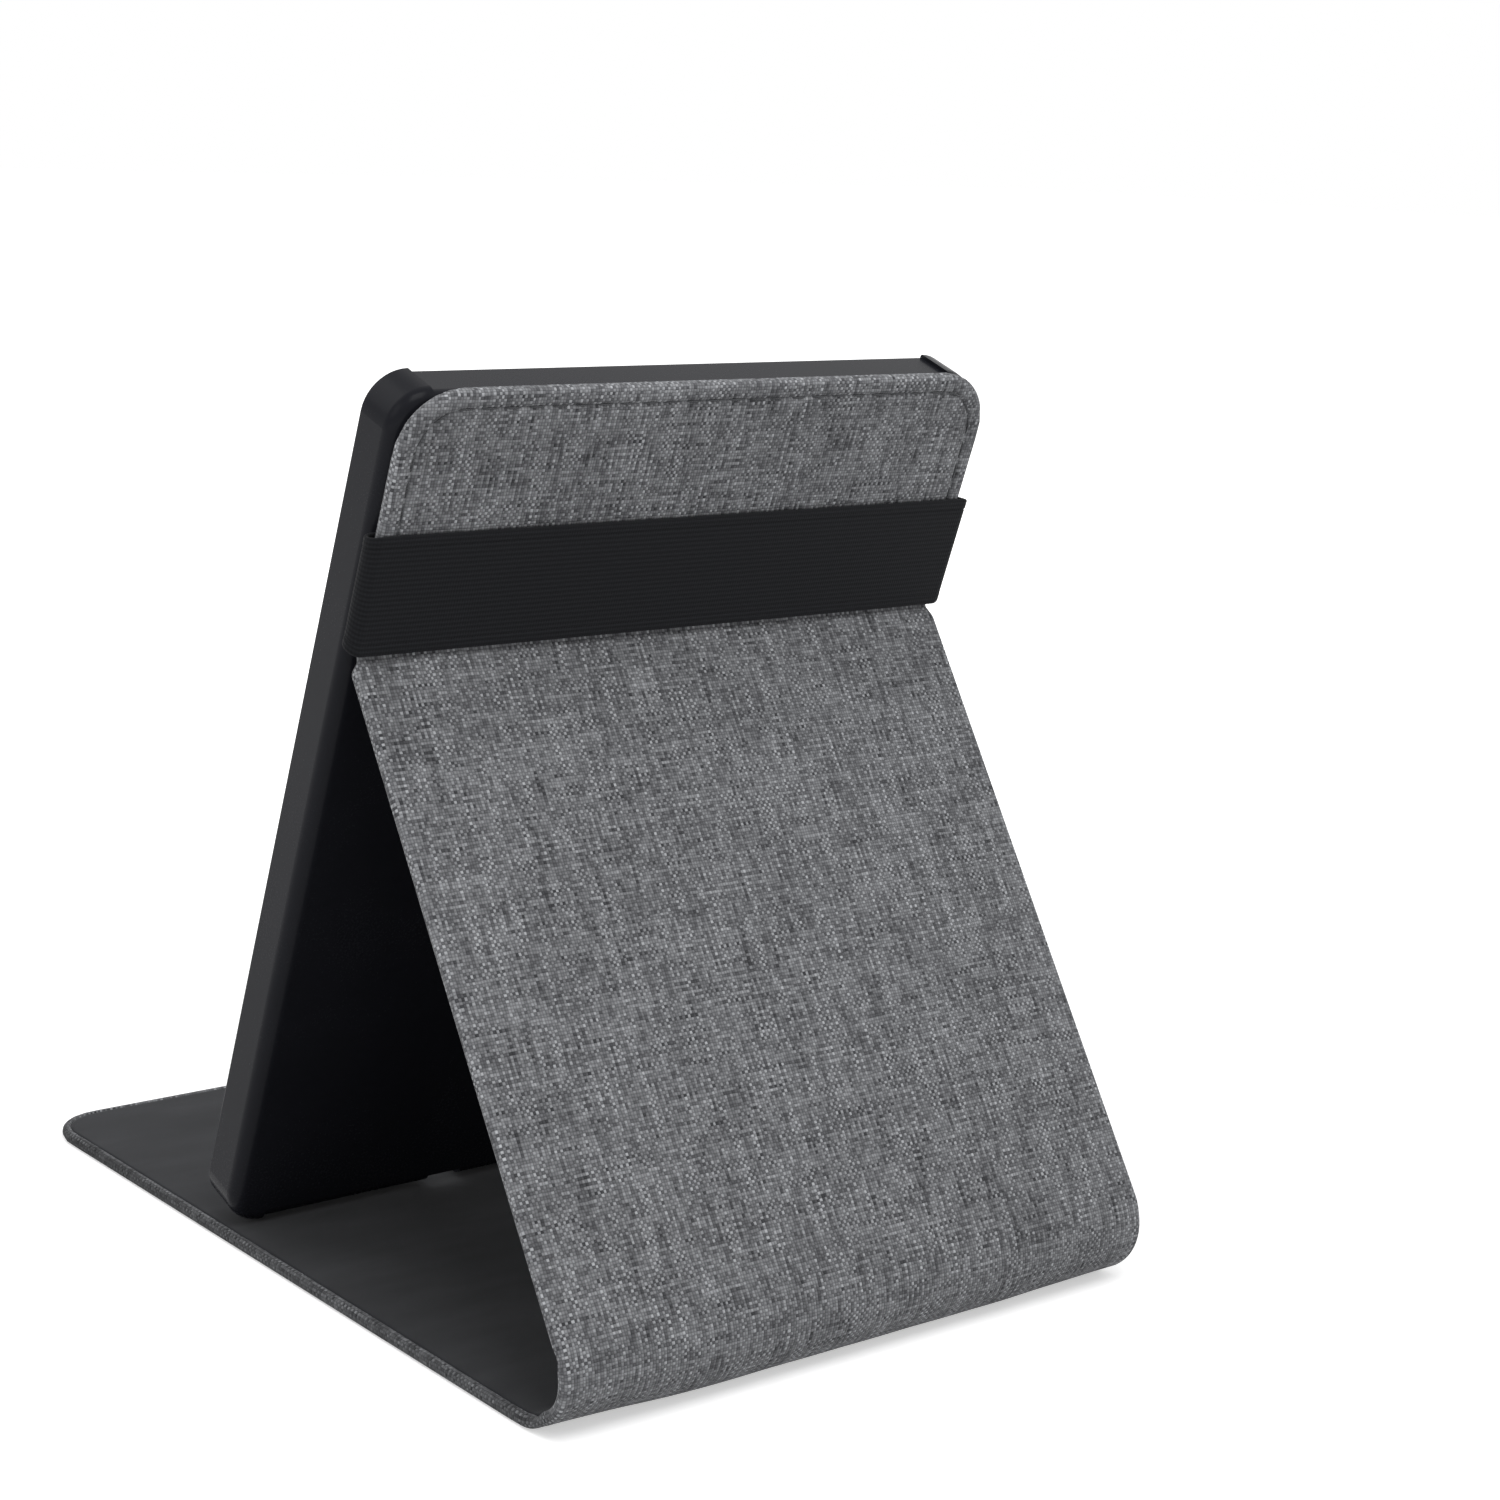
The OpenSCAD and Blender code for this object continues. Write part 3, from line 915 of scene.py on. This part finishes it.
def stitches():
    """Sewn line round the upper panel: each stitch is a short bowed thread in the groove."""
    pitch, length, radius = 4.4, 3.2, 0.17
    ring, steps, facet = 8, 9, 0.15  # facet is the width that a side of the ring takes in mm
    route = stitch_route()
    way = along(route)
    points, faces, uvs = [], [], []
    for k in range(int(way[-1] // pitch)):
        begin = k * pitch + (pitch - length) / 2
        ss = np.linspace(begin, begin + length, steps)
        px, pu = np.interp(ss, way, route[:, 0]), np.interp(ss, way, route[:, 1])
        tx, tu = np.gradient(px), np.gradient(pu)
        size = np.hypot(tx, tu)
        tx, tu = tx / size, tu / size
        bow = np.sin(np.linspace(0, math.pi, steps)) ** 0.6
        sunk = 0.42 - 0.36 * bow
        girth = radius * (0.55 + 0.45 * bow)
        first = len(points)
        for i in range(steps):
            for q in range(ring):
                a = 2 * math.pi * q / ring
                off = girth[i] * math.cos(a)
                depth = sunk[i] - girth[i] * math.sin(a) * 0.8
                points.append(on_tray(px[i] - tu[i] * off, pu[i] + tx[i] * off, depth))
        for i in range(steps - 1):
            for q in range(ring):
                a, b = first + i * ring + q, first + i * ring + (q + 1) % ring
                faces.append([a, b, b + ring, a + ring])
                low_v, high_v = q * facet, (q + 1) * facet
                uvs += [(ss[i], low_v), (ss[i], high_v), (ss[i + 1], high_v), (ss[i + 1], low_v)]
    return make_object("upper_panel_stitching", np.array(points), faces, uvs)


stitching = dress(stitches(), sewing_thread())
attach(stitching, "tray")


# ---------------------------------------------------------------- rigid pieces keep their CAD shape

nodes = frame["nodes"]
dress(nodes["device_tray"], moulded_plastic())
for name in ("cover_board", "lower_panel_board", "upper_panel_board"):
    dress(nodes[name], BOARD)
dress(nodes["sleep_magnet"], nickel())
dress(nodes["panel_tape"], foam_tape())


# ---------------------------------------------------------------- floor, light and camera


def backdrop_rays(tree):
    """1 for the rays that show a backdrop: those of the camera, a gloss or a clear piece."""
    paths = tree.nodes.new("ShaderNodeLightPath")
    total = paths.outputs["Is Camera Ray"]
    for name in ("Is Glossy Ray", "Is Transmission Ray"):
        either = tree.nodes.new("ShaderNodeMath")
        either.operation = "MAXIMUM"
        tree.links.new(total, either.inputs[0])
        tree.links.new(paths.outputs[name], either.inputs[1])
        total = either.outputs[0]
    return total


def floor():
    """A pale floor with the case's shadow on it, which fades to white farther off."""
    size = 6.0
    near, far, least, most = 0.12, 0.5, 0.5, 1.0  # the glow rises from least to most
    mesh = bpy.data.meshes.new("floor")
    mesh.from_pydata(
        [(-size, -size, 0), (size, -size, 0), (size, size, 0), (-size, size, 0)],
        [],
        [(0, 1, 2, 3)],
    )
    obj = bpy.data.objects.new("floor", mesh)
    bpy.context.scene.collection.objects.link(obj)
    obj.location.z = -0.00005
    material = bpy.data.materials.new("floor")
    material.use_nodes = True
    tree = material.node_tree
    tree.nodes.clear()
    out = tree.nodes.new("ShaderNodeOutputMaterial")
    diffuse = tree.nodes.new("ShaderNodeBsdfDiffuse")
    diffuse.inputs["Color"].default_value = (0.8, 0.8, 0.8, 1)
    glow = tree.nodes.new("ShaderNodeEmission")
    glow.inputs["Color"].default_value = (1, 1, 1, 1)
    place = tree.nodes.new("ShaderNodeTexCoord")
    away = tree.nodes.new("ShaderNodeVectorMath")
    away.operation = "LENGTH"
    tree.links.new(place.outputs["Object"], away.inputs[0])
    rise = tree.nodes.new("ShaderNodeMapRange")
    for socket, value in zip(rise.inputs[1:], (near, far, least, most)):
        socket.default_value = value
    tree.links.new(away.outputs["Value"], rise.inputs["Value"])
    scale = tree.nodes.new("ShaderNodeMath")
    scale.operation = "MULTIPLY"
    tree.links.new(backdrop_rays(tree), scale.inputs[0])
    tree.links.new(rise.outputs[0], scale.inputs[1])
    tree.links.new(scale.outputs[0], glow.inputs["Strength"])
    add = tree.nodes.new("ShaderNodeAddShader")
    tree.links.new(diffuse.outputs[0], add.inputs[0])
    tree.links.new(glow.outputs[0], add.inputs[1])
    tree.links.new(add.outputs[0], out.inputs["Surface"])
    mesh.materials.append(material)


def world(strength):
    """White where the camera or a reflection sees it, and a plain level of light elsewhere."""
    studio = bpy.data.worlds.new("studio")
    bpy.context.scene.world = studio
    studio.use_nodes = True
    tree = studio.node_tree
    back = tree.nodes["Background"]
    back.inputs["Color"].default_value = (1, 1, 1, 1)
    level = tree.nodes.new("ShaderNodeMapRange")
    level.inputs["To Min"].default_value = strength
    level.inputs["To Max"].default_value = 1.0
    tree.links.new(backdrop_rays(tree), level.inputs["Value"])
    tree.links.new(level.outputs[0], back.inputs["Strength"])


def away_from_case(azimuth, elevation):
    """The direction from the case towards a lamp or the camera; angles are in degrees."""
    a, e = math.radians(azimuth), math.radians(elevation)
    return Vector((math.sin(a) * math.cos(e), -math.cos(a) * math.cos(e), math.sin(e)))


def lamp(name, azimuth, elevation, distance, size, power, target=(0, 0.01, 0.07)):
    """A square area light of size metres that faces the target."""
    back = away_from_case(azimuth, elevation)
    data = bpy.data.lights.new(name, "AREA")
    data.shape = "SQUARE"
    data.size = size
    data.energy = power
    obj = bpy.data.objects.new(name, data)
    bpy.context.scene.collection.objects.link(obj)
    obj.location = Vector(target) + back * distance
    obj.rotation_mode = "QUATERNION"
    obj.rotation_quaternion = (-back).to_track_quat("-Z", "Y")


def camera():
    """At the photograph's viewing angle, solved from the case's straight edges."""
    distance, target = 0.650018, Vector((-0.095307, -0.06809, 0.0618))
    back, roll = away_from_case(140.835, 11.964), math.radians(2.284)
    right = (-back).cross(Vector((0, 0, 1))).normalized()
    up = right.cross(-back)
    c, s = math.cos(roll), math.sin(roll)
    right, up = right * c + up * s, up * c - right * s
    data = bpy.data.cameras.new("camera")
    data.sensor_width = 36
    data.lens = 72.559
    data.clip_start, data.clip_end = 0.01, 20
    obj = bpy.data.objects.new("camera", data)
    bpy.context.scene.collection.objects.link(obj)
    place = target + back * distance
    obj.matrix_world = Matrix(
        [
            [right.x, up.x, back.x, place.x],
            [right.y, up.y, back.y, place.y],
            [right.z, up.z, back.z, place.z],
            [0, 0, 0, 1],
        ]
    )
    bpy.context.scene.camera = obj


floor()
world(0.42)
lamp("key", 165, 60, 1.3, 0.7, 8.0)
lamp("side", 95, 30, 1.5, 0.8, 3.0)
lamp("far_side", 235, 35, 1.5, 0.9, 4.0)
lamp("front", 25, 40, 1.5, 1.0, 5.0)
camera()
bpy.context.scene.view_settings.view_transform = "Standard"
